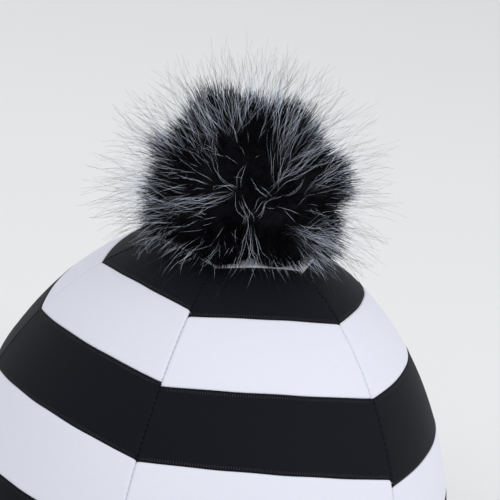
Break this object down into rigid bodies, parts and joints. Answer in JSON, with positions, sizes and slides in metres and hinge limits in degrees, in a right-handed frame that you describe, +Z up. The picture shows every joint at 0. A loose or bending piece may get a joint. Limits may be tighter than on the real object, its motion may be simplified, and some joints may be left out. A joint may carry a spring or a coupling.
{
  "type": "jockey cap with pompom",
  "caption": "Stretch-cloth jockey cap cover in white and black hoops, sewn from gores, with an elastic hem, a padded peak and a fur pompom.",
  "frame": {"origin": "middle of the box round the cap, at the level of the rim that it rests on", "axes": "+Z up through the crown to the pompom, -Y to the front where the peak is, +X to the right as seen from the front"},
  "size_m": [0.2182, 0.2986, 0.2318],
  "materials": {
    "white_cloth": "white stretch knit, smooth, with a faint sheen",
    "black_cloth": "black stretch knit, smooth and matt",
    "elastic": "ribbed black elastic band, matt",
    "fur": "long-haired fur, black with silver-grey guard hairs"
  },
  "bodies": {
    "root": {"front_tip": "white_cloth", "front_hoop_1": "black_cloth", "front_hoop_2": "white_cloth", "front_hoop_3": "black_cloth", "front_hoop_4": "white_cloth", "front_hoop_5": "black_cloth", "front_hoop_6": "white_cloth", "right_front_tip": "white_cloth", "right_front_hoop_1": "black_cloth", "right_front_hoop_2": "white_cloth", "right_front_hoop_3": "black_cloth", "right_front_hoop_4": "white_cloth", "right_front_hoop_5": "black_cloth", "right_front_hoop_6": "white_cloth", "right_back_tip": "white_cloth", "right_back_hoop_1": "black_cloth", "right_back_hoop_2": "white_cloth", "right_back_hoop_3": "black_cloth", "right_back_hoop_4": "white_cloth", "right_back_hoop_5": "black_cloth", "right_back_hoop_6": "white_cloth", "back_tip": "white_cloth", "back_hoop_1": "black_cloth", "back_hoop_2": "white_cloth", "back_hoop_3": "black_cloth", "back_hoop_4": "white_cloth", "back_hoop_5": "black_cloth", "back_hoop_6": "white_cloth", "left_back_tip": "white_cloth", "left_back_hoop_1": "black_cloth", "left_back_hoop_2": "white_cloth", "left_back_hoop_3": "black_cloth", "left_back_hoop_4": "white_cloth", "left_back_hoop_5": "black_cloth", "left_back_hoop_6": "white_cloth", "left_front_tip": "white_cloth", "left_front_hoop_1": "black_cloth", "left_front_hoop_2": "white_cloth", "left_front_hoop_3": "black_cloth", "left_front_hoop_4": "white_cloth", "left_front_hoop_5": "black_cloth", "left_front_hoop_6": "white_cloth", "hem": "elastic", "peak": "black_cloth", "pompom": "fur"}
  },
  "joints": []
}
